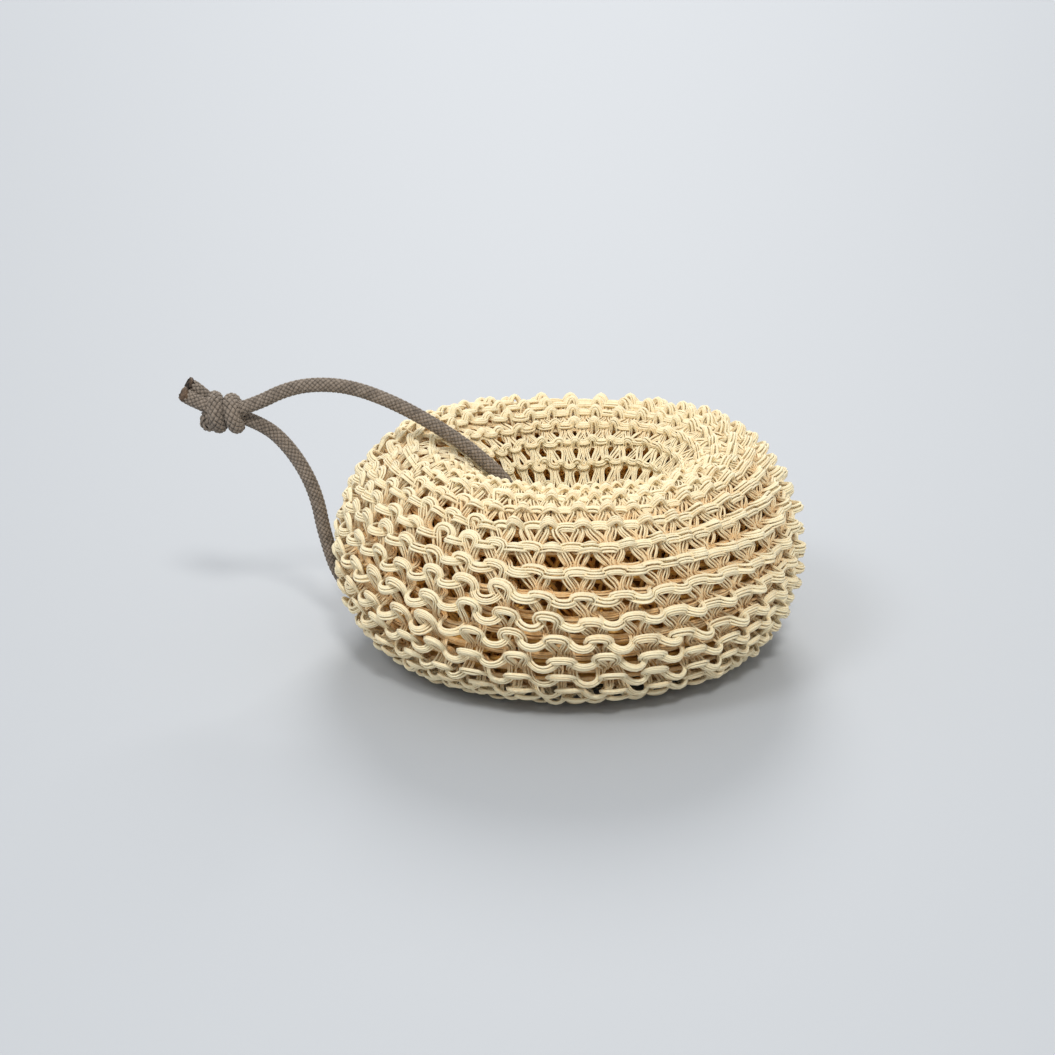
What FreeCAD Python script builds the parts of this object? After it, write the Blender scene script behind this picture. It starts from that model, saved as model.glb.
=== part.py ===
import FreeCAD, Part
import math
import os

# Knitted bath scrubber: a tube of knitting rolled into a fat ring, with a braided cord looped
# through its hole and knotted. Millimetres, +Z up. The origin is the centre of the flat base.

Vector = FreeCAD.Vector
doc = FreeCAD.newDocument("bath_scrubber")

SIZES = (
    ("ring_diameter", 105.0, "outside of the ring"),
    ("ring_height", 46.0, "floor to crest"),
    ("hole_length", 32.0, "hole along X at mid height"),
    ("hole_width", 14.0, "hole along Y at mid height"),
    ("hole_shift", 2.0, "hole centre from the ring centre, along +X"),
    ("base_sink", 1.2, "how much the soft ring is pressed flat under its own weight"),
    ("cover_thickness", 5.0, "outer layer of knitting"),
    ("turn_thickness", 4.3, "second layer of knitting"),
    ("layer_gap", 0.2, "between one layer and the next"),
    ("seam_height", 9.0, "closing seam above the floor"),
    ("seam_yarn", 1.4, "thickness of the sewing yarn"),
    ("seam_depth", 2.6, "yarn centre below the wall of the hole"),
    ("seam_gap", 0.2, "yarn to each edge of the slit"),
    ("cord_diameter", 3.2, "braided cord"),
    ("cord_clearance", 0.3, "cord to the knitting that it lies in"),
    ("loop_centre_x", -32.2, "axis that the loop swings about"),
    ("loop_centre_y", 2.0, "plane of the loop"),
    ("loop_centre_z", 23.5, "axis that the loop swings about"),
    ("loop_radius", 21.8, "cord centre line where it goes round the ring"),
    ("knot_length", 10.0, "along the cord"),
    ("knot_depth", 9.4, "front to back"),
    ("knot_height", 9.8, "top to bottom"),
    ("tail_length", 5.9, "each free end beyond the knot"),
    ("tail_gap", 0.056, "between the two free ends, side by side"),
    ("sealed_length", 0.8, "melted and darkened end of each tail"),
)

# The loop's centre line: out of the knot, over the ring, down the hole, under and back up.
CORD_ROUTE = (
    (-72.6, 0.9, 53.2), (-68.0, 0.95, 54.7), (-62.6, 1.1, 57.5), (-56.3, 1.4, 58.9),
    (-48.0, 1.8, 58.3), (-38.6, 2.0, 54.6), (-29.4, 2.0, 49.2),
    (-20.9, 2.0, 43.0), (-12.7, 2.0, 34.8), (-9.6, 2.0, 23.5), (-12.7, 2.0, 12.2),
    (-20.9, 2.0, 4.0), (-32.2, 2.0, 0.9), (-43.5, 2.0, 4.0), (-51.7, 2.0, 12.2),
    (-54.8, 2.0, 23.5), (-56.1, 2.2, 32.0), (-58.8, 2.5, 38.9), (-62.9, 2.9, 45.0),
    (-67.5, 3.2, 49.0), (-72.6, 3.3, 50.9),
)
KNOT_CENTRE = Vector(-76.0, 2.0, 52.2)
TAIL_ANGLE = 146.0  # degrees above +X, turning towards +Z
TAIL_FACE = 3.4  # knot centre to the face that the tails leave
TAIL_LEAN = 47.49  # degrees, how far the pair is turned about its own length towards +Y
TAIL_SIDES = (("upper", 1), ("lower", -1))

POLES_AROUND = 24  # of the ring's surface, round the hole
POLES_ACROSS = 16  # and round the section
SLIT_REACH = 1.6  # how far the seam's slit goes into the wall, in thicknesses of the cover
ARC_SHARE = 0.45  # the part of the shorter run that each arc of the cord takes up


def make_sheet():
    """The driving dimensions, one alias each."""
    sheet = doc.addObject("Spreadsheet::Sheet", "Sizes")
    for row, (alias, value, note) in enumerate(SIZES, start=1):
        sheet.set("A%d" % row, alias)
        sheet.set("B%d" % row, str(value))
        sheet.set("C%d" % row, note)
        sheet.setAlias("B%d" % row, alias)
    doc.recompute()
    return sheet


def bind(item, **expressions):
    """Ties an object's properties to the sheet; a double underscore stands for a dot."""
    for name, expression in expressions.items():
        item.setExpression(name.replace("__", "."), expression)
    return item


def section_centre():
    """Height of the middle of the ring's section, and the section's half height."""
    half_height = (sheet.ring_height + sheet.base_sink) / 2
    return sheet.ring_height - half_height, half_height


def ring_solid(inset):
    """The ring's soft shape, moved inwards by inset: a round outline outside, an oval hole inside,
    and an oval section between them. It is one B-spline surface, closed both ways round."""
    centre_height, half_height = section_centre()
    outer = sheet.ring_diameter / 2 - inset
    hole_x = sheet.hole_length / 2 + inset
    hole_y = sheet.hole_width / 2 + inset
    # a cubic spline runs inside its control polygon by these factors
    draw_around = (2 + math.cos(2 * math.pi / POLES_AROUND)) / 3
    draw_across = (2 + math.cos(2 * math.pi / POLES_ACROSS)) / 3
    poles = []
    for i in range(POLES_AROUND):
        turn = 2 * math.pi * i / POLES_AROUND
        reach_x = math.cos(turn) / draw_around
        reach_y = math.sin(turn) / draw_around
        outside = Vector(outer * reach_x, outer * reach_y, centre_height)
        inside = Vector(sheet.hole_shift + hole_x * reach_x, hole_y * reach_y, centre_height)
        middle = (outside + inside) / 2
        half = (outside - inside) / 2
        row = []
        for j in range(POLES_ACROSS):
            roll = 2 * math.pi * j / POLES_ACROSS
            rise = Vector(0, 0, (half_height - inset) * math.sin(roll) / draw_across)
            row.append(middle + half * (math.cos(roll) / draw_across) + rise)
        poles.append(row)
    surface = Part.BSplineSurface()
    surface.buildFromPolesMultsKnots(
        poles, [1] * (POLES_AROUND + 1), [1] * (POLES_ACROSS + 1),
        [i / POLES_AROUND for i in range(POLES_AROUND + 1)],
        [j / POLES_ACROSS for j in range(POLES_ACROSS + 1)],
        True, True, 3, 3)
    return Part.Solid(Part.Shell([surface.toShape()]))


def ring_feature(name, inset):
    feature = doc.addObject("Part::Feature", name)
    feature.Shape = ring_solid(inset)
    return feature


def cut(name, base, tool):
    result = doc.addObject("Part::Cut", name)
    result.Base = base
    result.Tool = tool
    result.Refine = False
    return result


def floor_block():
    """Everything below the floor, which presses the ring's underside flat."""
    block = doc.addObject("Part::Box", "floor_block")
    bind(block, Length="Sizes.ring_diameter * 2", Width="Sizes.ring_diameter * 2",
         Height="Sizes.ring_height", Placement__Base__x="-Sizes.ring_diameter",
         Placement__Base__y="-Sizes.ring_diameter", Placement__Base__z="-Sizes.ring_height")
    return block


def groove_profile():
    """A round-bottomed channel, open outwards, drawn in the loop's own plane."""
    reach = sheet.cord_diameter / 2 + sheet.cord_clearance
    mouth = sheet.loop_radius + 2 * sheet.cord_diameter
    top, bottom = Vector(sheet.loop_radius, reach, 0), Vector(sheet.loop_radius, -reach, 0)
    deepest = Vector(sheet.loop_radius - reach, 0, 0)
    mouth_top, mouth_bottom = Vector(mouth, reach, 0), Vector(mouth, -reach, 0)
    profile = doc.addObject("Sketcher::SketchObject", "groove_profile")
    profile.addGeometry(Part.Arc(top, deepest, bottom))
    for start, end in ((bottom, mouth_bottom), (mouth_bottom, mouth_top), (mouth_top, top)):
        profile.addGeometry(Part.LineSegment(start, end))
    bind(profile, Placement__Base__x="Sizes.loop_centre_x",
         Placement__Base__y="Sizes.loop_centre_y", Placement__Base__z="Sizes.loop_centre_z")
    return profile


def cord_groove():
    """The channel that the cord presses into the knitting, all the way round the section."""
    groove = doc.addObject("Part::Revolution", "cord_groove")
    groove.Source = groove_profile()
    groove.Axis = Vector(0, 1, 0)
    groove.Angle = 360
    groove.Solid = True
    bind(groove, Base__x="Sizes.loop_centre_x", Base__y="Sizes.loop_centre_y",
         Base__z="Sizes.loop_centre_z")
    return groove


def hole_outline(name, inset):
    """The outline of the hole at the seam's height, moved into the wall by inset."""
    centre_height, half_height = section_centre()
    share = (1 + math.sqrt(1 - ((sheet.seam_height - centre_height) / half_height) ** 2)) / 2
    outside = sheet.ring_diameter / 2 * (1 - share)
    long_half = outside + share * sheet.hole_length / 2 + inset
    short_half = outside + share * sheet.hole_width / 2 + inset
    outline = doc.addObject("Part::Ellipse", name)
    outline.MajorRadius = max(long_half, short_half)
    outline.MinorRadius = min(long_half, short_half)
    if short_half > long_half:
        outline.Placement.Rotation = FreeCAD.Rotation(Vector(0, 0, 1), 90)
    outline.Placement.Base = Vector(sheet.hole_shift * share, 0, sheet.seam_height)
    return outline


def seam_slit():
    """The slit in the outer layer that the closing seam draws together."""
    outline = hole_outline("slit_outline", sheet.cover_thickness * SLIT_REACH)
    slit = doc.addObject("Part::Extrusion", "seam_slit")
    slit.Base = outline
    slit.DirMode = "Custom"
    slit.Dir = Vector(0, 0, 1)
    slit.Solid = True
    bind(slit, LengthFwd="Sizes.seam_yarn / 2 + Sizes.seam_gap",
         LengthRev="Sizes.seam_yarn / 2 + Sizes.seam_gap")
    return slit


def outer_knit_cover():
    """The outer layer of knitting: a rolled shell, flat below, open along the seam."""
    flat = cut("cover_on_floor", ring_feature("cover_outside", 0.0), floor_block())
    grooved = cut("cover_grooved", flat, cord_groove())
    hollow = cut("cover_hollow", grooved, ring_feature("cover_inside", sheet.cover_thickness))
    return cut("outer_knit_cover", hollow, seam_slit())


def inner_knit_turn():
    """The second layer, inside the first."""
    start = sheet.cover_thickness + sheet.layer_gap
    return cut("inner_knit_turn", ring_feature("turn_outside", start),
               ring_feature("turn_inside", start + sheet.turn_thickness))


def core_roll():
    """The rolled middle of the tube of knitting."""
    inset = sheet.cover_thickness + sheet.turn_thickness + 2 * sheet.layer_gap
    return ring_feature("core_roll", inset)


def closing_seam():
    """One run of sewing yarn in the slit, round the wall of the hole."""
    path = hole_outline("seam_path", sheet.seam_depth)
    doc.recompute()
    start = path.Shape.Edges[0]
    section = doc.addObject("Part::Circle", "seam_section")
    tangent = start.tangentAt(start.FirstParameter)
    section.Placement = FreeCAD.Placement(start.valueAt(start.FirstParameter),
                                          FreeCAD.Rotation(Vector(0, 0, 1), tangent))
    bind(section, Radius="Sizes.seam_yarn / 2")
    seam = doc.addObject("Part::Sweep", "closing_seam")
    seam.Sections = [section]
    seam.Spine = (path, ["Edge1"])
    seam.Solid = True
    seam.Frenet = True
    return seam


def cord_path(points):
    """Straight runs joined by tangent arcs, each as large as its two runs allow."""
    edges = []
    start = points[0]
    radii = []
    for before, corner, after in zip(points, points[1:], points[2:]):
        inward = corner - before
        outward = after - corner
        half_turn = inward.getAngle(outward) / 2
        reach = ARC_SHARE * min(inward.Length, outward.Length)
        inward.normalize()
        outward.normalize()
        radius = reach / math.tan(half_turn)
        radii.append(radius)
        enter = corner - inward * reach
        leave = corner + outward * reach
        bisector = outward - inward
        bisector.normalize()
        middle = corner + bisector * (radius / math.cos(half_turn) - radius)
        edges.append(Part.LineSegment(start, enter).toShape())
        edges.append(Part.Arc(enter, middle, leave).toShape())
        start = leave
    edges.append(Part.LineSegment(start, points[-1]).toShape())
    print("cord radii:", ", ".join("%.1f" % radius for radius in radii))
    return Part.Wire(edges)


def hang_cord():
    """The loop of braided cord, from the knot round the ring and back to the knot."""
    points = [Vector(*point) for point in CORD_ROUTE]
    path = cord_path(points)
    radius = sheet.cord_diameter / 2
    ring = Part.Wire([Part.Circle(points[0], points[1] - points[0], radius).toShape()])
    cord = doc.addObject("Part::Feature", "hang_cord")
    cord.Shape = path.makePipeShell([ring], True, True)
    expected = math.pi * radius ** 2 * path.Length
    print("cord length %.1f, volume ratio %.4f" % (path.Length, cord.Shape.Volume / expected))
    return cord


def facing_block(name, point, normal):
    """A block whose one face passes through a point and looks back along the normal."""
    block = doc.addObject("Part::Box", name)
    bind(block, Length="Sizes.knot_height * 2", Width="Sizes.knot_height * 2",
         Height="Sizes.knot_height")
    turn = FreeCAD.Rotation(Vector(0, 0, 1), normal)
    corner = turn.multVec(Vector(-sheet.knot_height, -sheet.knot_height, 0))
    block.Placement = FreeCAD.Placement(point + corner, turn)
    return block


def tail_direction():
    angle = math.radians(TAIL_ANGLE)
    return Vector(math.cos(angle), 0, math.sin(angle))


def cord_knot():
    """The overhand knot in both strands, with a face where each strand enters or leaves."""
    knot = doc.addObject("Part::Ellipsoid", "knot_body")
    knot.Angle1 = -90
    knot.Angle2 = 90
    knot.Placement.Base = KNOT_CENTRE
    bind(knot, Radius1="Sizes.knot_height / 2", Radius2="Sizes.knot_length / 2",
         Radius3="Sizes.knot_depth / 2")
    points = [Vector(*point) for point in CORD_ROUTE]
    ends = (
        ("first_strand_face", points[0], points[1] - points[0]),
        ("second_strand_face", points[-1], points[-2] - points[-1]),
        ("tail_face", KNOT_CENTRE + tail_direction() * TAIL_FACE, tail_direction()),
    )
    for index, (name, point, normal) in enumerate(ends):
        last = index == len(ends) - 1
        knot = cut("cord_knot" if last else "knot_after_" + name, knot,
                   facing_block(name, point, normal))
    return knot


def cord_tails():
    """Two free ends side by side, each with its own sealed tip."""
    along = tail_direction()
    across = Vector(along.z, 0, -along.x)
    turn = FreeCAD.Rotation(Vector(0, 0, 1), along)
    lean = math.radians(TAIL_LEAN)
    apart = across * math.cos(lean) + Vector(0, math.sin(lean), 0)
    half_spacing = (sheet.cord_diameter + sheet.tail_gap) / 2
    pieces = []
    for side, sign in TAIL_SIDES:
        foot = KNOT_CENTRE + along * TAIL_FACE + apart * half_spacing * sign
        tail = doc.addObject("Part::Cylinder", "cord_tail_" + side)
        tail.Placement = FreeCAD.Placement(foot, turn)
        bind(tail, Radius="Sizes.cord_diameter / 2", Height="Sizes.tail_length")
        tip = doc.addObject("Part::Cylinder", "sealed_end_" + side)
        tip.Placement = FreeCAD.Placement(foot + along * sheet.tail_length, turn)
        bind(tip, Radius="Sizes.cord_diameter / 2", Height="Sizes.sealed_length")
        pieces += [tail, tip]
    return pieces


sheet = make_sheet()
nodes = [outer_knit_cover(), inner_knit_turn(), core_roll(), closing_seam(), hang_cord(), cord_knot()]
nodes += cord_tails()
doc.recompute()

for item in doc.Objects:
    if "Invalid" in item.State or "Error" in item.State:
        raise RuntimeError("%s did not build: %s" % (item.Name, item.State))
for node in nodes:
    node.Label = node.Name
    if node.Shape.isNull() or not node.Shape.isValid() or not node.Shape.Solids:
        raise RuntimeError("%s is not a valid solid" % node.Label)

os.makedirs("parts", exist_ok=True)
for node in nodes:
    node.Shape.exportStep(os.path.join("parts", node.Label + ".step"))
    print("%s: %d solid, %.1f mm3" % (node.Label, len(node.Shape.Solids), node.Shape.Volume))
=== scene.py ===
import math

import bpy
import numpy as np
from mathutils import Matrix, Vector


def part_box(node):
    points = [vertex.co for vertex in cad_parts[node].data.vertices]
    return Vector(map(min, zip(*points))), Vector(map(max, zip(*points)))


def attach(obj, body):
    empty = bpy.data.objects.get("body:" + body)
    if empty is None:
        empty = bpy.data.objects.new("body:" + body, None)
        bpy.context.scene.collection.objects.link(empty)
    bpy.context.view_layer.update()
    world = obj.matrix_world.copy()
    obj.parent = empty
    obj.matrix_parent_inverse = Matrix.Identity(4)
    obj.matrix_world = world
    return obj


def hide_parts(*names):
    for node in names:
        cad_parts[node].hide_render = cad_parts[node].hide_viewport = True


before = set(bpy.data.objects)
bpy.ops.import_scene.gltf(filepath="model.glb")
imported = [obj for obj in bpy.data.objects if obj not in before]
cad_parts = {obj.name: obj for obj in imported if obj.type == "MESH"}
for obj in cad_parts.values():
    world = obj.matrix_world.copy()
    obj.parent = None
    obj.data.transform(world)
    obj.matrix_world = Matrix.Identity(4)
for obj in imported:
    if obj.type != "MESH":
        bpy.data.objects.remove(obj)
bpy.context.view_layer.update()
print("frame loaded:", len(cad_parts), "nodes")

# Knitted bath scrubber ring with a knotted hanging cord.
# Yarn and cord are worked out in millimetres and turned into metres by addTubes.
metre = 0.001


# tubes: every yarn, ply and strand is one of these

def unit(vectors):
    return vectors / np.linalg.norm(vectors, axis=-1, keepdims=True)


def tubeRings(centres, sideways, outwards, halfWidth, halfDepth, sides):
    # Rings of points round centre lines: (tubes, points, sides, 3).
    turn = 2 * np.pi * np.arange(sides) / sides
    across = sideways[..., None, :] * (np.cos(turn)[:, None] * halfWidth[..., None, None])
    deep = outwards[..., None, :] * (np.sin(turn)[:, None] * halfDepth[..., None, None])
    return centres[..., None, :] + across + deep


def addTubes(name, rings, closed, tones, material):
    # One mesh from many tubes. Each gets its own strip of the OFBake map, and its own tone, which
    # holds painted shade as well as random differences in tone.
    tubes, points, sides, _ = rings.shape
    steps = points if closed else points - 1
    t, p, s = np.meshgrid(np.arange(tubes), np.arange(steps), np.arange(sides), indexing="ij")
    pNext, sNext = (p + 1) % points, (s + 1) % sides
    base = t * points * sides
    quads = np.stack([base + p * sides + s, base + pNext * sides + s,
                      base + pNext * sides + sNext, base + p * sides + sNext], axis=-1)
    gap = 0.12   # share of each strip that is left empty at either side
    left, right = p / steps, (p + 1) / steps
    low = (t + gap + (1 - 2 * gap) * s / sides) / tubes
    high = (t + gap + (1 - 2 * gap) * (s + 1) / sides) / tubes
    uv = np.stack([np.stack([left, low], -1), np.stack([right, low], -1),
                   np.stack([right, high], -1), np.stack([left, high], -1)], axis=-2)
    quads, uv = quads.reshape(-1, 4), uv.reshape(-1, 2)
    caps = []
    if not closed:
        for tube in range(tubes):
            first = tube * points * sides
            last = first + (points - 1) * sides
            caps.append([first + side for side in range(sides)])
            caps.append([last + side for side in reversed(range(sides))])
    loops = np.concatenate([quads.ravel()] + [np.array(cap) for cap in caps]).astype(np.int32)
    starts = np.concatenate([np.arange(len(quads)) * 4,
                             len(quads) * 4 + np.arange(len(caps)) * sides]).astype(np.int32)
    mesh = bpy.data.meshes.new(name)
    mesh.vertices.add(rings.size // 3)
    mesh.vertices.foreach_set("co", (rings.reshape(-1) * metre).astype(np.float32))
    mesh.loops.add(len(loops))
    mesh.loops.foreach_set("vertex_index", loops)
    mesh.polygons.add(len(starts))
    mesh.polygons.foreach_set("loop_start", starts)
    mesh.update(calc_edges=True)
    mesh.polygons.foreach_set("use_smooth", np.ones(len(starts), bool))
    bakeMap = mesh.uv_layers.new(name="OFBake")
    corners = np.zeros((len(loops), 2), np.float32)
    corners[:len(uv)] = uv
    bakeMap.data.foreach_set("uv", corners.ravel())
    # this tone holds painted shade as well as random differences in tone
    tone = mesh.attributes.new("plyToneAndShade", "FLOAT", "POINT")
    everywhere = np.broadcast_to(np.reshape(tones, (tubes, -1, 1)), (tubes, points, sides))
    tone.data.foreach_set("value", everywhere.ravel().astype(np.float32))
    mesh.materials.append(material)
    piece = bpy.data.objects.new(name, mesh)
    bpy.context.scene.collection.objects.link(piece)
    return piece


def place(piece, body, slot, *nodes):
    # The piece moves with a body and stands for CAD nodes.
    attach(piece, body)
    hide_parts(*nodes)
    return piece


# shared material effects

def newGroup(name, inputs, outputs):
    group = bpy.data.node_groups.new(name, "ShaderNodeTree")
    for socketName, kind, value in inputs:
        socket = group.interface.new_socket(socketName, in_out="INPUT", socket_type=kind)
        socket.default_value = value
    for socketName, kind in outputs:
        group.interface.new_socket(socketName, in_out="OUTPUT", socket_type=kind)
    return group, group.nodes.new("NodeGroupInput"), group.nodes.new("NodeGroupOutput")


def addNode(tree, kind, **values):
    node = tree.nodes.new(kind)
    for key, value in values.items():
        if key in node.inputs:
            node.inputs[key].default_value = value
        else:
            setattr(node, key, value)
    return node


def makeFibreTone():
    # Fibre's colour: slow patches and small specks, on top of each ply's tone, which also holds
    # painted shade.
    group, given, result = newGroup(
        "fibreTone",
        [("Pale", "NodeSocketColor", (1, 1, 1, 1)), ("Deep", "NodeSocketColor", (0, 0, 0, 1)),
         ("Patch Scale", "NodeSocketFloat", 90.0), ("Patch Amount", "NodeSocketFloat", 0.3),
         ("Speck Scale", "NodeSocketFloat", 900.0), ("Speck Amount", "NodeSocketFloat", 0.2)],
        [("Color", "NodeSocketColor"), ("Mask", "NodeSocketFloat")])
    link = group.links.new
    where = addNode(group, "ShaderNodeTexCoord")
    total = addNode(group, "ShaderNodeAttribute", attribute_name="plyToneAndShade").outputs["Fac"]
    for kind, detail in (("Patch", 3.0), ("Speck", 2.0)):
        noise = addNode(group, "ShaderNodeTexNoise", Detail=detail)
        centred = addNode(group, "ShaderNodeMath", operation="SUBTRACT")
        centred.inputs[1].default_value = 0.5
        weighed = addNode(group, "ShaderNodeMath", operation="MULTIPLY_ADD")
        link(where.outputs["Object"], noise.inputs["Vector"])
        link(given.outputs[kind + " Scale"], noise.inputs["Scale"])
        link(noise.outputs["Fac"], centred.inputs[0])
        link(centred.outputs[0], weighed.inputs[0])
        link(given.outputs[kind + " Amount"], weighed.inputs[1])
        link(total, weighed.inputs[2])
        total = weighed.outputs[0]
    spread = addNode(group, "ShaderNodeMapRange")
    spread.inputs["From Min"].default_value = -0.5
    spread.inputs["From Max"].default_value = 0.5
    mix = addNode(group, "ShaderNodeMix", data_type="RGBA")
    link(total, spread.inputs["Value"])
    link(spread.outputs["Result"], mix.inputs["Factor"])
    link(given.outputs["Deep"], mix.inputs["A"])
    link(given.outputs["Pale"], mix.inputs["B"])
    link(mix.outputs["Result"], result.inputs["Color"])
    link(spread.outputs["Result"], result.inputs["Mask"])
    return group


def makeFibreHeight():
    # Fine spun fibre as a height.
    group, given, result = newGroup(
        "fibreHeight",
        [("Fine Scale", "NodeSocketFloat", 2500.0), ("Coarse Scale", "NodeSocketFloat", 700.0)],
        [("Height", "NodeSocketFloat")])
    link = group.links.new
    where = addNode(group, "ShaderNodeTexCoord")
    total = addNode(group, "ShaderNodeMath", operation="ADD")
    for kind, detail, term in (("Fine", 2.0, 0), ("Coarse", 1.0, 1)):
        noise = addNode(group, "ShaderNodeTexNoise", Detail=detail)
        link(where.outputs["Object"], noise.inputs["Vector"])
        link(given.outputs[kind + " Scale"], noise.inputs["Scale"])
        link(noise.outputs["Fac"], total.inputs[term])
    link(total.outputs[0], result.inputs["Height"])
    return group


fibreTone = makeFibreTone()
fibreHeight = makeFibreHeight()
fibre = {"sheenRoughness": 0.6, "specular": 0.25, "bumpDistance": 0.0002}


def fibreMaterial(name, look):
    # Spun or braided fibre: matte, with a soft sheen from loose hairs.
    material = bpy.data.materials.new(name)
    material.use_nodes = True
    tree = material.node_tree
    shader = tree.nodes["Principled BSDF"]
    shader.inputs["Sheen Weight"].default_value = look["sheen"]
    shader.inputs["Sheen Roughness"].default_value = fibre["sheenRoughness"]
    shader.inputs["Specular IOR Level"].default_value = fibre["specular"]
    tone = addNode(tree, "ShaderNodeGroup", node_tree=fibreTone)
    tone.inputs["Pale"].default_value = (*look["pale"], 1)
    tone.inputs["Deep"].default_value = (*look["deep"], 1)
    for kind in ("Patch", "Speck"):
        scale, amount = look[kind.lower()]
        tone.inputs[kind + " Scale"].default_value = scale
        tone.inputs[kind + " Amount"].default_value = amount
    height = addNode(tree, "ShaderNodeGroup", node_tree=fibreHeight)
    bump = addNode(tree, "ShaderNodeBump", Strength=look["bump"], Distance=fibre["bumpDistance"])
    rough = addNode(tree, "ShaderNodeMapRange")
    rough.inputs["To Min"].default_value = look["rough"][1]
    rough.inputs["To Max"].default_value = look["rough"][0]
    link = tree.links.new
    link(tone.outputs["Color"], shader.inputs["Base Color"])
    link(tone.outputs["Mask"], rough.inputs["Value"])
    link(rough.outputs["Result"], shader.inputs["Roughness"])
    link(height.outputs["Height"], bump.inputs["Height"])
    link(bump.outputs["Normal"], shader.inputs["Normal"])
    return material


# the deep colour is painted shade, taken by yarn deep in the fabric; random patches and specks mix it
# in too
creamYarn = fibreMaterial("creamYarn", dict(
    pale=(0.92, 0.81, 0.55), deep=(0.78, 0.35, 0.03), patch=(160.0, 0.3), speck=(1500.0, 0.5),
    bump=0.7, rough=(0.8, 0.95), sheen=0.15))
# painted shade: the inner turn is coloured orange-brown for the shade it lies in
shadedInnerYarn = fibreMaterial("shadedInnerYarn", dict(
    pale=(0.97, 0.62, 0.18), deep=(0.68, 0.29, 0.03), patch=(140.0, 0.5), speck=(1200.0, 0.5),
    bump=0.3, rough=(0.8, 0.95), sheen=0.1))
# painted shade: the rolled middle is coloured dark brown for the shade deep inside the ring
shadowCoreKnit = fibreMaterial("shadowCoreKnit", dict(
    pale=(0.56, 0.24, 0.035), deep=(0.30, 0.10, 0.012), patch=(220.0, 1.2), speck=(900.0, 0.8),
    bump=0.6, rough=(0.85, 0.95), sheen=0.0))
sewingYarn = fibreMaterial("sewingYarn", dict(
    pale=(0.93, 0.86, 0.70), deep=(0.76, 0.56, 0.30), patch=(200.0, 0.4), speck=(1500.0, 0.4),
    bump=0.35, rough=(0.7, 0.9), sheen=0.15))
# the deep colour is painted shade where strands pass under and in the cord's middle; random patches
# and specks mix it in too
braidFibre = fibreMaterial("braidFibre", dict(
    pale=(0.27, 0.217, 0.17), deep=(0.022, 0.014, 0.008), patch=(420.0, 0.8), speck=(2600.0, 1.0),
    bump=0.5, rough=(0.7, 0.92), sheen=0.12))
sealedFibre = fibreMaterial("sealedFibre", dict(
    pale=(0.20, 0.125, 0.075), deep=(0.007, 0.004, 0.003), patch=(700.0, 1.6), speck=(3000.0, 1.2),
    bump=0.9, rough=(0.35, 0.75), sheen=0.0))
print("materials made")


# the ring's soft shape, which all the knitting follows

coverLow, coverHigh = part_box("outer_knit_cover")
ring = {
    "radius": (coverHigh.x - coverLow.x) / 2 / metre,
    "crest": coverHigh.z / metre,
    "sink": 1.2,         # pressed flat underneath by its own weight
    "holeLong": 16.0,    # half length and half width of the oval hole
    "holeShort": 7.0,
    "holeShift": 2.0,
    "lift": 0.15,        # the lowest yarn stands this far off the floor
    "floorSoftness": 0.9,
    "shoulderRise": 1.5,  # the ring stands a little higher at the back, left and right
    "shoulderPlace": 30.0,
    "shoulderWidth": 15.0,
    "shoulderFade": 12.0,
}
loop = {
    "centre": (-32.2, 2.0, 23.5),
    "radius": 21.8,      # of the cord's path as it swings
    "cord": 1.6,         # the cord's own radius
    "clearance": 0.5,
    "shoulder": 2.6,     # how far to either side the knitting is drawn in
}


def ringSurface(u, v, inset):
    # A point of the ring: u goes round the hole, v round the section from its outer side.
    half = (ring["crest"] + ring["sink"]) / 2
    outer = ring["radius"] - inset
    outX, outY = outer * np.cos(u), outer * np.sin(u)
    inX = ring["holeShift"] + (ring["holeLong"] + inset) * np.cos(u)
    inY = (ring["holeShort"] + inset) * np.sin(u)
    swing = np.cos(v)
    x = (outX + inX) / 2 + (outX - inX) / 2 * swing
    y = (outY + inY) / 2 + (outY - inY) / 2 * swing
    z = ring["crest"] - half + (half - inset) * np.sin(v) + 0 * x
    reach = (np.abs(x) - ring["shoulderPlace"]) / ring["shoulderWidth"]
    behind = 0.5 + 0.5 * np.tanh(y / ring["shoulderFade"])
    z = z + ring["shoulderRise"] * np.exp(-reach ** 2) * behind * np.clip(z / ring["crest"], 0, 1)
    return np.stack([x, y, z], axis=-1)


def ringNormal(u, v, inset):
    step = 1e-3
    alongU = ringSurface(u + step, v, inset) - ringSurface(u - step, v, inset)
    alongV = ringSurface(u, v + step, inset) - ringSurface(u, v - step, inset)
    return unit(np.cross(alongU, alongV))


def pressFlat(points):
    # Nothing sinks into the floor: heights near it are eased up.
    lift, soft = ring["lift"], ring["floorSoftness"]
    z = points[..., 2]
    points[..., 2] = (z + lift + np.sqrt((z - lift) ** 2 + soft ** 2)) / 2
    return points


def pressByCord(points):
    # The knitting gives way all along the path that the cord takes as it swings.
    cx, cy, cz = loop["centre"]
    dx, dz = points[..., 0] - cx, points[..., 2] - cz
    distance = np.sqrt(dx ** 2 + dz ** 2) + 1e-9
    fade = np.exp(-((points[..., 1] - cy) / loop["shoulder"]) ** 2)
    limit = loop["radius"] - loop["cord"] - loop["clearance"]
    shift = np.clip(distance - limit, 0, None) * fade
    near = points[..., 0] < ring["holeShift"]
    scale = np.where(near, (distance - shift) / distance, 1.0)
    points[..., 0] = cx + dx * scale
    points[..., 2] = cz + dz * scale
    return points


drift = {"waves": 9, "around": (1, 7), "over": (-4, 5)}


def slowDrift(u, v, seed, size):
    # Smooth unevenness that joins up with itself all round.
    pick = np.random.default_rng(seed)
    total = np.zeros(np.broadcast(u, v).shape)
    for _ in range(drift["waves"]):
        around, over = pick.integers(*drift["around"]), pick.integers(*drift["over"])
        total += np.sin(around * u + over * v + pick.uniform(0, 2 * np.pi))
    return total * size / math.sqrt(drift["waves"])


# the outer layer: garter stitch, knit rows and purl rows in turn

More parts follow.
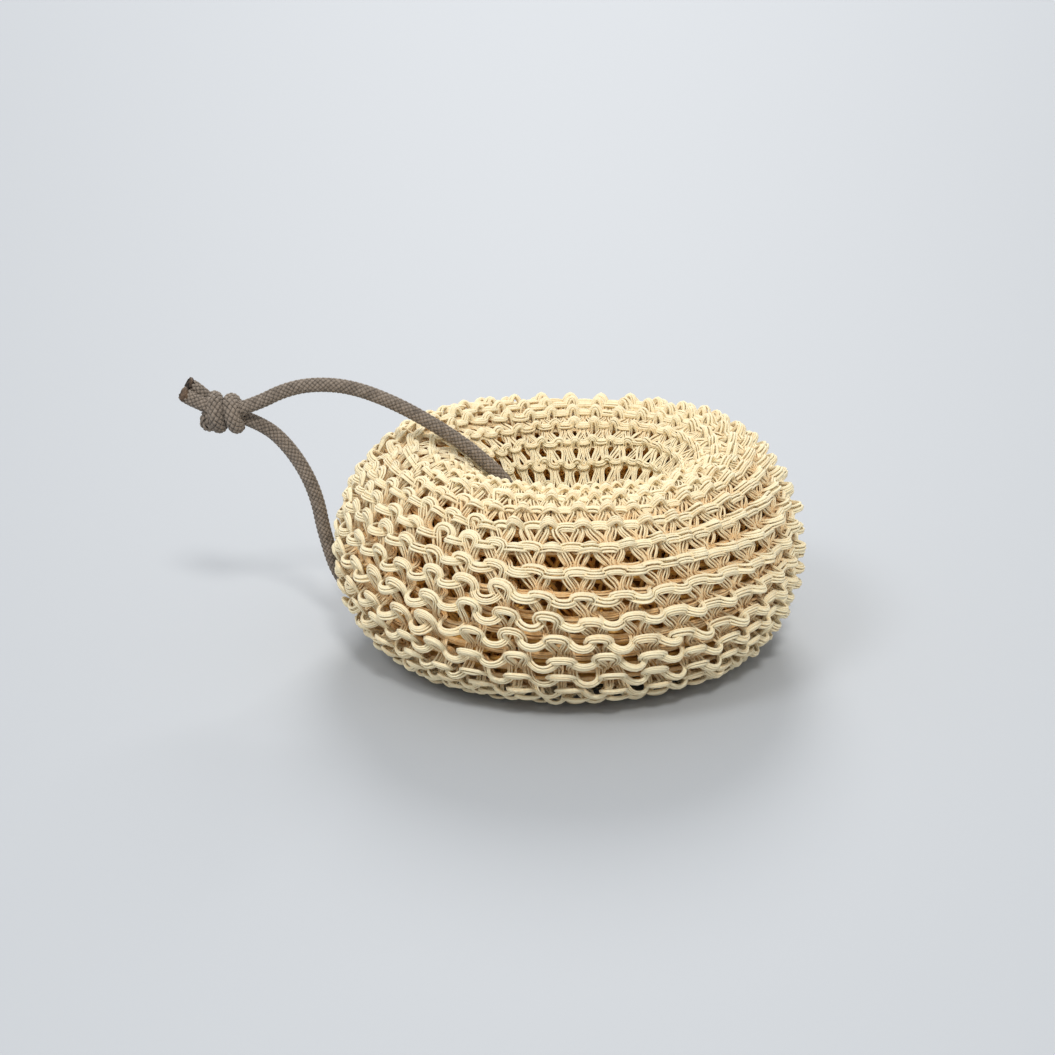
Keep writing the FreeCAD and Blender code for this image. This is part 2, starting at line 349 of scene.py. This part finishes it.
knit = {
    "ridges": 27,
    "stitches": 36,
    "samples": 22,        # points for each stitch
    "firstTurn": -145.0,  # degrees round the section where the roll is sewn shut
    "depth": 2.2,         # how far loops stand in front of and behind the fabric's middle
    "inset": 2.5,         # middle of the fabric below the ring's surface
    "plies": 8,
    "plyRadius": 0.235,
    "plyTwists": 7,       # turns of the plies about each other in one row
    "plyJitter": dict(turn=0.2, wander=0.10, thickness=0.10),
    "halfWidth": 0.66,
    "sides": 5,
    "legThin": 0.25,      # how much thinner the plies get in the long legs
    "crowded": 6.5,       # stitches narrower than this lie flatter
    "flattest": 0.45,
    "crowdRise": 0.8,
    "jitter": dict(height=0.05, along=0.08, rise=0.08, front=0.10),
    "riseDrift": (5, 0.035),    # seed and size
    "aroundDrift": (9, 0.02),
    "tone": 0.42,         # of the yarn that stands in front
    "shadeFrom": 2.1,     # depth from which painted shade darkens the yarn's tone
    "shade": 0.24,        # and by how much for each millimetre
    "shadeLimit": 3.0,    # as far as this many millimetres
    "sideShade": 0.05,    # painted shade: a ply is lighter on the yarn's outer side and darker on its inner side
    "plyToneJitter": 0.05,
    # these go from where the fabric is drawn tight to where it hangs open
    "halfDepth": (0.36, 0.24),
    "fan": (0.50, 0.30),      # how far the plies spread in the long legs
    "back": (0.55, 0.85),     # how far loops go behind the middle, as a share of depth
    "head": (0.08, 1.0),      # how far knit heads stand in front, as a share of depth
    "room": (4.6, 7.2),       # in millimetres: a stitch narrower than this squeezes its yarn
    "squeeze": (0.42, 1.05),  # between these limits
    "squeezePower": 0.7,
    "thin": (1.2, 0.95),
    "uneven": (0.25, 1.0),
    # where a loop's sides and feet lie, how high its ends reach and how they round off
    "purl": dict(swell=(-0.05, 0.45), pinch=(0.45, 0.52), low=(-0.05, -0.30), high=(0.30, 0.36),
                 flat=(1.3, 1.0), drop=(3.6, 2.0)),
    "knit": dict(swell=(1.45, 0.98), pinch=(0.34, 0.58), low=(-1.05, -1.12), high=(-0.14, 0.32),
                 flat=(1.2, 1.1), drop=(1.0, 1.0)),
}


slack = {"offset": 0.1, "fall": 0.9, "height": 30.0, "halfHeight": 23.0, "steepness": 1.4}


def openness(points):
    # 0 where the fabric is drawn tight, near the hole and on the right; 1 where it hangs open.
    x, z = points[..., 0] / ring["radius"], points[..., 2]
    score = slack["offset"] - x - slack["fall"] * (z - slack["height"]) / slack["halfHeight"]
    return 0.5 + 0.5 * np.tanh(slack["steepness"] * score)


wales = {"place": -50.0, "width": 50.0, "slope": -0.2, "upright": 0.2}


def lean(u, v):
    # The wales lean over on the front right.
    away = (u - np.radians(wales["place"]) + np.pi) % (2 * np.pi) - np.pi
    near = np.exp(-(away / np.radians(wales["width"])) ** 2)
    return wales["slope"] * near * (v - wales["upright"])


def between(pair, loose):
    # A setting that goes from its tight value to its open one.
    return pair[0] + (pair[1] - pair[0]) * loose


def smoothJitter(pick, count, points):
    # A random value for each half stitch, eased from one to the next.
    knots = pick.normal(0, 1, count * 2)
    travel = np.arange(points) * count * 2 / points
    low = np.floor(travel).astype(int)
    part = travel - low
    part = part * part * (3 - 2 * part)
    return knots[low % (count * 2)] * (1 - part) + knots[(low + 1) % (count * 2)] * part


def yarnPath(settings, ridge, purl, seed):
    # Centre line, directions and spread of one row of stitches, closed round the ring.
    count = settings["stitches"]
    points = count * settings["samples"]
    t = 2 * np.pi * np.arange(points) / settings["samples"]
    pick = np.random.default_rng(seed)
    jitter = settings["jitter"]
    ridgeTurn = 2 * np.pi / settings["ridges"]
    ridgeV = np.radians(settings["firstTurn"]) + (ridge + 0.5) * ridgeTurn
    ridgeLine = ringSurface(2 * np.pi * np.arange(points) / points, ridgeV, settings["inset"])
    loose = openness(ridgeLine)
    step = np.linalg.norm(np.roll(ridgeLine, -1, axis=0) - ridgeLine, axis=-1)
    room = step * settings["samples"]
    uneven = between(settings["uneven"], loose)
    vary = jitter["height"] * smoothJitter(pick, count, points) * uneven
    row = settings["purl" if purl else "knit"]
    # t = 0 at a foot and pi at a head; the end that stands in front is the flatter one
    turned = 1 if purl else -1
    low, high = between(row["low"], loose), between(row["high"], loose)
    share = ((1 - turned * np.cos(t)) / 2) ** between(row["flat"], loose)
    rise = low + (high - low) * share if purl else high - (high - low) * share
    rise = rise - turned * vary * (1 - share)
    along = (t + between(row["swell"], loose) * np.sin(2 * t)
             + between(row["pinch"], loose) * np.sin(t)) / (2 * np.pi)
    along = along + jitter["along"] * smoothJitter(pick, count, points) * uneven
    u = 2 * np.pi * along / count
    v = ridgeV + ridgeTurn * (rise + jitter["rise"] * smoothJitter(pick, count, points) * uneven)
    v = v + slowDrift(u, ridgeV, *settings["riseDrift"])
    u = u + lean(u, v) + slowDrift(u, ridgeV, *settings["aroundDrift"])
    # a purl row's feet and a knit row's heads stand in front, and their other ends behind
    back, head = between(settings["back"], loose), between(settings["head"], loose)
    swing = ((1 + turned * np.cos(t)) / 2) ** between(row["drop"], loose)
    front = -back + ((1 if purl else head) + back) * swing
    # crowded stitches lie flatter, with their tops as high as the others
    flatter = np.clip(room / settings["crowded"], settings["flattest"], 1)
    front = front * flatter * (1 + jitter["front"] * smoothJitter(pick, count, points))
    front = front + settings["crowdRise"] * (1 - flatter)
    legs = np.sin(t) ** 4
    return u, v, front * settings["depth"], legs, loose, room


def rowRings(settings, ridge, purl, seed):
    # The plies of one row, as rings of points.
    u, v, front, legs, loose, room = yarnPath(settings, ridge, purl, seed)
    inset, plies, jitter = settings["inset"], settings["plies"], settings["plyJitter"]
    normal = ringNormal(u, v, inset)
    middle = ringSurface(u, v, inset) + normal * front[:, None]
    tangent = unit(np.roll(middle, -1, axis=0) - np.roll(middle, 1, axis=0))
    sideways = unit(np.cross(normal, tangent))
    outwards = np.cross(tangent, sideways)
    # the stitches crowd together in the hole, and the yarn is squeezed thinner there
    squeeze = np.clip(room / between(settings["room"], loose), *settings["squeeze"])
    squeeze = squeeze * between(settings["thin"], loose)
    pick = np.random.default_rng(seed + 1000)
    travel = np.arange(len(u)) / len(u)
    # painted shade: yarn lying deeper in the fabric is given a darker tone
    shadeDepth = np.clip(inset - front - settings["shadeFrom"], 0, settings["shadeLimit"])
    toneWithShade = settings["tone"] - settings["shade"] * shadeDepth
    spread = 1 + legs * between(settings["fan"], loose)
    thickness = settings["plyRadius"] * squeeze ** settings["squeezePower"]
    thickness = thickness * (1 - settings["legThin"] * legs)
    centres, widths, tones = [], [], []
    for ply in range(plies):
        turn = 2 * np.pi * (ply / plies + settings["plyTwists"] * travel)
        turn = turn + pick.uniform(-jitter["turn"], jitter["turn"])
        wander = jitter["wander"] * smoothJitter(pick, settings["stitches"], len(u))
        wide = (settings["halfWidth"] * np.cos(turn) + wander) * spread * squeeze
        deep = between(settings["halfDepth"], loose) * np.sin(turn) * squeeze
        centres.append(middle + sideways * wide[:, None] + outwards * deep[:, None])
        uneven = jitter["thickness"] * smoothJitter(pick, settings["stitches"], len(u))
        widths.append(thickness * (1 + uneven))
        # painted shade: lighter where a ply turns to the outside of the yarn, darker where it turns
        # inside
        plyToneAndShade = settings["sideShade"] * np.sin(turn)
        tones.append(toneWithShade + plyToneAndShade + pick.normal(0, settings["plyToneJitter"]))
    centres, widths = np.array(centres), np.array(widths)
    side = np.broadcast_to(sideways, centres.shape)
    out = np.broadcast_to(outwards, centres.shape)
    rings = tubeRings(centres, side, out, widths, widths, settings["sides"])
    return pressFlat(pressByCord(rings)), np.array(tones)


def knitLayer(name, settings, material, slot, node, seed):
    for ridge in range(settings["ridges"]):
        rows = [rowRings(settings, ridge, purl, seed + 10 * ridge + purl) for purl in (0, 1)]
        rings = np.concatenate([row[0] for row in rows])
        tones = np.concatenate([row[1] for row in rows])
        piece = addTubes(f"{name}_{ridge:02d}", rings, True, tones, material)
        place(piece, "scrubber", slot, node)
    print(name, "made:", settings["ridges"], "ridges")


knitLayer("knit_ridge", knit, creamYarn, "cream_knit", "outer_knit_cover", 100)

# the second turn of the roll, seen through the gaps of the first

# painted shade: the inner turn gets a low tone and darkens more with depth
innerKnit = dict(knit, ridges=20, stitches=34, samples=14, inset=7.2, plies=3, plyRadius=0.5,
                 halfWidth=0.7, halfDepth=(0.3, 0.3), sides=4, depth=1.7, firstTurn=-138.0, tone=0.1,
                 shadeFrom=6.0, shade=0.12, back=(0.8, 0.8), head=(0.8, 0.8))
knitLayer("inner_ridge", innerKnit, shadedInnerYarn, "inner_knit", "inner_knit_turn", 4000)


# the rolled middle, coloured dark brown as painted shade deep inside the ring

core = {
    "inset": 9.9,
    "around": 180,            # points round the hole and round the section
    "over": 72,
    "lump": 0.5,
    "lumps": (36, 18),        # how many each way
    "drift": (12, 0.6),
}


def makeCore():
    u = 2 * np.pi * np.arange(core["around"]) / core["around"]
    v = 2 * np.pi * np.arange(core["over"]) / core["over"]
    u, v = np.meshgrid(u, v, indexing="ij")
    points = ringSurface(u, v, core["inset"])
    lumpsAround, lumpsOver = core["lumps"]
    lumps = np.sin(lumpsAround * u) * np.sin(lumpsOver * v) + slowDrift(u, v, *core["drift"])
    points = points + ringNormal(u, v, core["inset"]) * (core["lump"] * lumps)[..., None]
    return addTubes("rolled_core", points[None], True, np.zeros(1), shadowCoreKnit)


rolledCore = place(makeCore(), "scrubber", "rolled_core", "core_roll")
print("core made")


# the cord: the points that steer its route, in metres, and the lines that its strands follow

cordRoute = (
    (-0.0726, 0.0009, 0.0532), (-0.0680, 0.00095, 0.0547), (-0.0626, 0.0011, 0.0575),
    (-0.0563, 0.0014, 0.0589), (-0.0480, 0.0018, 0.0583), (-0.0386, 0.0020, 0.0546),
    (-0.0294, 0.0020, 0.0492), (-0.0209, 0.0020, 0.0430), (-0.0127, 0.0020, 0.0348),
    (-0.0096, 0.0020, 0.0235), (-0.0127, 0.0020, 0.0122), (-0.0209, 0.0020, 0.0040),
    (-0.0322, 0.0020, 0.0009), (-0.0435, 0.0020, 0.0040), (-0.0517, 0.0020, 0.0122),
    (-0.0548, 0.0020, 0.0235), (-0.0561, 0.0022, 0.0320), (-0.0588, 0.0025, 0.0389),
    (-0.0629, 0.0029, 0.0450), (-0.0675, 0.0032, 0.0490), (-0.0726, 0.0033, 0.0509),
)


def smoothLine(points, fineness):
    # Points along the NURBS spline that these points steer, in millimetres.
    curve = bpy.data.curves.new("line", "CURVE")
    curve.dimensions = "3D"
    curve.resolution_u = fineness
    spline = curve.splines.new("NURBS")
    spline.points.add(len(points) - 1)
    for steer, point in zip(spline.points, points):
        steer.co = (*point, 1)
    spline.order_u = 3
    spline.use_endpoint_u = True
    holder = bpy.data.objects.new("line", curve)
    mesh = bpy.data.meshes.new_from_object(holder)
    line = np.array([vertex.co for vertex in mesh.vertices]) / metre
    bpy.data.objects.remove(holder)
    bpy.data.meshes.remove(mesh)
    bpy.data.curves.remove(curve)
    return line


def followLine(line):
    # Distance along a line, its heading, and two directions across it that never twist.
    step = np.linalg.norm(np.diff(line, axis=0), axis=1)
    travel = np.concatenate([[0], np.cumsum(step)])
    ahead = unit(np.gradient(line, axis=0))
    side = np.zeros_like(line)
    aslant = (0.0, 1.0, 0.2)     # the lines never start out this way
    side[0] = unit(np.cross(ahead[0], aslant))
    for i in range(1, len(line)):
        carried = side[i - 1] - ahead[i] * (side[i - 1] @ ahead[i])
        side[i] = carried / np.linalg.norm(carried)
    return travel, ahead, side, np.cross(ahead, side)


# braid: eight strands turn each way and pass over and under each other by turns

braid = {
    "strands": 8,
    "turn": 9.1,          # length in which a strand goes once round
    "middle": 1.24,       # radius that the strands weave about
    "weave": 0.2,         # how far it goes over and under that radius
    "halfWidth": 0.40,    # of one strand
    "halfDepth": 0.21,
    "sides": 6,
    "coreRadius": 1.08,
    "tone": 0.0,
    "underShade": 0.42,    # painted shade: strands are darker where they go under
    "toneJitter": 0.08,
    # painted shade: the middle tube under the strands is dark
    "coreShade": -0.5,
    "fineness": 44,       # points for each steering point of the route
}


def braidRings(line, seed, fat):
    # fat scales the cord's thickness, for where it is squashed
    travel, ahead, side, up = followLine(line)
    pick = np.random.default_rng(seed)
    full = np.ones(len(line))
    rings, tones = [], []
    for way in (1, -1):
        for strand in range(braid["strands"]):
            swing = 2 * np.pi * (way * travel / braid["turn"] + strand / braid["strands"])
            radial = side * np.cos(swing)[:, None] + up * np.sin(swing)[:, None]
            around = up * np.cos(swing)[:, None] - side * np.sin(swing)[:, None]
            over = way * np.cos(2 * np.pi * braid["strands"] * travel / braid["turn"])
            radius = (braid["middle"] + braid["weave"] * over) * fat
            heading = unit(ahead + around * (way * 2 * np.pi * radius / braid["turn"])[:, None])
            rings.append(tubeRings(line + radial * radius[:, None], np.cross(radial, heading), radial,
                                   braid["halfWidth"] * fat * full, braid["halfDepth"] * full,
                                   braid["sides"]))
            # painted shade: a strand is darker where it passes under the others
            strandToneAndShade = braid["tone"] + braid["underShade"] * over
            tones.append(strandToneAndShade + pick.normal(0, braid["toneJitter"]))
    # painted shade: the middle tube is given a dark tone
    middle = braid["coreRadius"] * fat * full
    rings.append(tubeRings(line, side, up, middle, middle, braid["sides"]))
    tones.append(braid["coreShade"] * full)
    return np.array(rings), np.array(tones)


def addBraid(name, lines, seed, fat=1.0):
    # One piece of cord, or several of the same number of points.
    parts = [braidRings(line, seed + i, fat) for i, line in enumerate(lines)]
    rings = np.concatenate([part[0] for part in parts])
    tones = np.concatenate([part[1] for part in parts])
    return addTubes(name, rings, False, tones, braidFibre)


cordLine = smoothLine(cordRoute, braid["fineness"])
hangCord = addBraid("hanging_cord", [cordLine], 70)
place(hangCord, "hang_loop", "braided_cord", "hang_cord")
cordLength = followLine(cordLine)[0][-1] * metre
print("cord made:", round(cordLength, 4), "m")


# the knot: each strand runs in, once round the pair, and out as a tail

knot = {
    "centre": np.array((-76.0, 2.0, 52.2)),
    "tilt": 8.0,                  # the turns lean, tops towards the tails
    "turnRadius": (3.2, 2.95),    # one value for each strand
    "turnRise": (0.3, -0.6),
    "turnPlaces": (-0.95, 2.25),  # along the knot
    "turnLean": (-0.08, 0.12),    # more lean of each turn
    "turnDrift": (-2.6, 0.5),     # how far a turn creeps along the knot
    "fat": 1.15,                  # the cord looks thicker where it is bent so hard
    "turnShrink": (0.9, 0.0),
    "turnStart": (-112.0, -96.0),
    "turnSweep": (440.0, 318.0),
    "turnStep": 40.0,
    "leadIn": 0.2,                # a strand starts this share of a step inside its leg
    "strandSides": (-0.9, 0.9),   # the strands run in side by side
    "mouth": 1.4,
    "approach": (0.9, -1.0),      # before the first turn, and below it
    "fineness": 24,
    "points": 230,
    "tailAngle": 146.0,
    "tailFace": 3.4,
    "tailStart": 0.6,
    "tailLength": 5.9,
    "tailOffsets": ((0.82, 1.3), (-0.82, -1.3)),   # across the pair, then along Y
}
tilt, tailTurn = math.radians(knot["tilt"]), math.radians(knot["tailAngle"])
knotAxis = np.array((math.cos(tilt), 0, math.sin(tilt)))
knotUp = np.array((-math.sin(tilt), 0, math.cos(tilt)))
tailAhead = np.array((math.cos(tailTurn), 0, math.sin(tailTurn)))
tailAcross = np.array((tailAhead[2], 0, -tailAhead[0]))


def tailFoot(strand):
    across, back = knot["tailOffsets"][strand]
    return (knot["centre"] + tailAhead * knot["tailFace"] + tailAcross * across
            + np.array((0, back, 0)))


def knotStrand(strand):
    # Steering points of one strand, from its leg to its tail.
    entry = np.array(cordRoute[0] if strand == 0 else cordRoute[-1]) / metre
    inner = np.array(cordRoute[1] if strand == 0 else cordRoute[-2]) / metre
    centre, side = knot["centre"], knot["strandSides"][strand]
    before, below = knot["approach"]
    firstPlace = knot["turnPlaces"][strand]
    points = [entry + (inner - entry) * knot["leadIn"], entry,
              centre + knotAxis * knot["mouth"] + (0, side, 0),
              centre + knotAxis * (firstPlace - before) + (0, side, below)]
    steps = round(knot["turnSweep"][strand] / knot["turnStep"])
    for step in range(steps + 1):
        share = step / steps
        swing = math.radians(knot["turnStart"][strand] + knot["turnSweep"][strand] * share)
        radius = knot["turnRadius"][strand] - knot["turnShrink"][strand] * share ** 3
        along = (firstPlace + knot["turnDrift"][strand] * share ** 2
                 - knot["turnLean"][strand] * radius * math.sin(swing))
        outwards = np.array((0, -1, 0)) * math.cos(swing) + knotUp * math.sin(swing)
        points.append(centre + knotAxis * along + knotUp * knot["turnRise"][strand]
                      + radius * outwards)
    foot = tailFoot(strand)
    points.append((centre + foot) / 2)
    points.append(foot + tailAhead * knot["tailStart"])
    return np.array(points)


def evenLine(line, count):
    # The same line with evenly spaced points.
    travel = followLine(line)[0]
    even = np.linspace(0, travel[-1], count)
    return np.stack([np.interp(even, travel, line[:, axis]) for axis in range(3)], axis=-1)


knotLines = [evenLine(smoothLine(knotStrand(strand) * metre, knot["fineness"]), knot["points"])
             for strand in (0, 1)]
cordKnot = addBraid("overhand_knot", knotLines, 80, knot["fat"])
place(cordKnot, "hang_loop", "braided_cord", "cord_knot")
print("knot made")


# the tails, and the sealed end of each

tails = {
    "places": (-1.6, 0.0, 2.2, 4.2, knot["tailLength"] - 0.5),   # along a tail
    "pinches": (0.6, 0.6, 0.3, 0.0, 0.0),    # the pair is squeezed together by the knot
    "fineness": 20,
    "points": 60,
}
tips = {
    "sides": 22,
    "steps": (-0.75, -0.3, 0.1, 0.4, 0.5, 0.52),    # along the tail, from its end
    "radii": (1.15, 1.5, 1.6, 1.52, 1.2, 0.4),
    "slant": 0.3,             # the cut isn't square
    "rough": 0.07,
    "slantJitter": 0.05,
    "tones": (-0.3, 0.05),    # the upper end is given a darker tone
}


def tailLine(strand):
    foot, inwards = tailFoot(strand), tailAcross * (1 if strand else -1)
    points = [foot + tailAhead * along + inwards * pinch
              for along, pinch in zip(tails["places"], tails["pinches"])]
    return evenLine(smoothLine(np.array(points) * metre, tails["fineness"]), tails["points"])


def sealedEnd(name, strand):
    # A melted cap, cut on the slant and uneven.
    pick = np.random.default_rng(90 + strand)
    end = tailFoot(strand) + tailAhead * knot["tailLength"]
    steps, radii = np.array(tips["steps"]), np.array(tips["radii"])
    turn = 2 * np.pi * np.arange(tips["sides"]) / tips["sides"]
    lumps = 1 + tips["rough"] * pick.normal(0, 1, (len(steps), tips["sides"]))
    reach = radii[:, None] * lumps
    outline = tailAcross * np.cos(turn)[:, None] + np.array((0, 1, 0)) * np.sin(turn)[:, None]
    shift = (steps[:, None] + tips["slant"] * reach * np.sin(turn)
             + pick.normal(0, tips["slantJitter"], reach.shape))
    cap = end + tailAhead * shift[..., None] + outline * reach[..., None]
    return addTubes(name, cap[None], False, np.array([tips["tones"][strand]]), sealedFibre)


for strand, side in enumerate(("upper", "lower")):
    tail = addBraid("tail_" + side, [tailLine(strand)], 84 + strand)
    place(tail, "hang_loop", "braided_cord", "cord_tail_" + side)
    tip = sealedEnd("sealed_tip_" + side, strand)
    place(tip, "hang_loop", "sealed_end", "sealed_end_" + side)
print("tails made")


# the whip stitches that keep the roll shut, low on the wall of the hole

seam = {
    "height": 9.0,
    "stitches": 30,
    "samples": 24,
    "halfSpan": 0.095,    # of one stitch over the edges, in radians of the section
    "middle": 2.0,        # the yarn's mean depth, and how far it goes in and out
    "swing": 1.9,
    "drift": (21, 0.02),
    "plies": 3,
    "plyRadius": 0.3,
    "twistRadius": 0.33,
    "twists": 95,
    "sides": 6,
    "tone": (0.1, 0.04),
}


def makeSeam():
    half = (ring["crest"] + ring["sink"]) / 2
    seamV = math.pi - math.asin((seam["height"] - ring["crest"] + half) / half)
    points = seam["stitches"] * seam["samples"]
    share = np.arange(points) / points
    phase = 2 * np.pi * seam["stitches"] * share
    u = 2 * np.pi * share
    v = seamV + seam["halfSpan"] * np.sin(phase) + slowDrift(u, seamV + 0 * u, *seam["drift"])
    below = seam["middle"] - seam["swing"] * np.cos(phase)
    normal = ringNormal(u, v, 0.0)
    line = ringSurface(u, v, 0.0) - normal * below[:, None]
    ahead = unit(np.roll(line, -1, axis=0) - np.roll(line, 1, axis=0))
    side = unit(np.cross(ahead, np.cross(normal, ahead)))
    up = np.cross(ahead, side)
    radius = np.full(points, seam["plyRadius"])
    rings = []
    for ply in range(seam["plies"]):
        swing = 2 * np.pi * (seam["twists"] * share + ply / seam["plies"])
        outwards = side * np.cos(swing)[:, None] + up * np.sin(swing)[:, None]
        centres = line + seam["twistRadius"] * outwards
        rings.append(tubeRings(centres, side, up, radius, radius, seam["sides"]))
    tones = np.random.default_rng(41).normal(*seam["tone"], seam["plies"])
    return addTubes("whip_stitches", pressByCord(np.array(rings)), True, tones, sewingYarn)


place(makeSeam(), "scrubber", "sewing_yarn", "closing_seam")
print("seam made")


# camera: in front of the ring and looking down on it a little

camera = {
    "elevation": 22.0,
    "distance": 0.55,
    "lens": 83.943,
    "sensor": 36,
    "target": (0.0, 0.0, 0.022),
    "shift": (-0.039336, 0.014692),
    "farthest": 20,
}


def makeCamera():
    data = bpy.data.cameras.new("camera")
    data.sensor_width = camera["sensor"]
    data.lens = camera["lens"]
    data.shift_x, data.shift_y = camera["shift"]
    data.clip_end = camera["farthest"]
    shot = bpy.data.objects.new("camera", data)
    rise = math.radians(camera["elevation"])
    offset = Vector((0, -math.cos(rise), math.sin(rise))) * camera["distance"]
    shot.location = Vector(camera["target"]) + offset
    shot.rotation_euler = (math.pi / 2 - rise, 0, 0)
    bpy.context.scene.collection.objects.link(shot)
    bpy.context.scene.camera = shot


makeCamera()


# floor and soft studio light

studio = {
    "floor": (0.42, 0.438, 0.462),
    "floorSize": 8,
    "floorRoughness": 0.6,
    "sky": (0.96, 0.98, 1.0),
    "skyStrength": 0.65,
    "aim": (0, 0, 0.02),
    "lights": (     # name, place, size, power, colour
        ("key", (0.25, -1.5, 2.1), 0.45, 28.0, (1.0, 0.985, 0.95)),
        ("fill", (-1.3, -0.9, 2.0), 0.8, 16.0, (0.98, 0.99, 1.0)),
        ("back", (0.0, 1.9, 1.3), 1.0, 23.0, (1.0, 1.0, 1.0)),
    ),
}


def makeStudio():
    bpy.ops.mesh.primitive_plane_add(size=studio["floorSize"])
    floor = bpy.context.object
    floor.name = "floor"
    material = bpy.data.materials.new("floorPaper")
    material.use_nodes = True
    shader = material.node_tree.nodes["Principled BSDF"]
    shader.inputs["Base Color"].default_value = (*studio["floor"], 1)
    shader.inputs["Roughness"].default_value = studio["floorRoughness"]
    floor.data.materials.append(material)
    for name, spot, size, power, colour in studio["lights"]:
        data = bpy.data.lights.new(name, "AREA")
        data.shape, data.size, data.energy, data.color = "DISK", size, power, colour
        lamp = bpy.data.objects.new(name, data)
        lamp.location = spot
        towards = Vector(studio["aim"]) - Vector(spot)
        lamp.rotation_euler = towards.to_track_quat("-Z", "Y").to_euler()
        bpy.context.scene.collection.objects.link(lamp)
    world = bpy.data.worlds.new("studioSky")
    world.use_nodes = True
    sky = world.node_tree.nodes["Background"]
    sky.inputs["Color"].default_value = (*studio["sky"], 1)
    sky.inputs["Strength"].default_value = studio["skyStrength"]
    bpy.context.scene.world = world
    bpy.context.scene.view_settings.view_transform = "Standard"


makeStudio()
print("studio made")
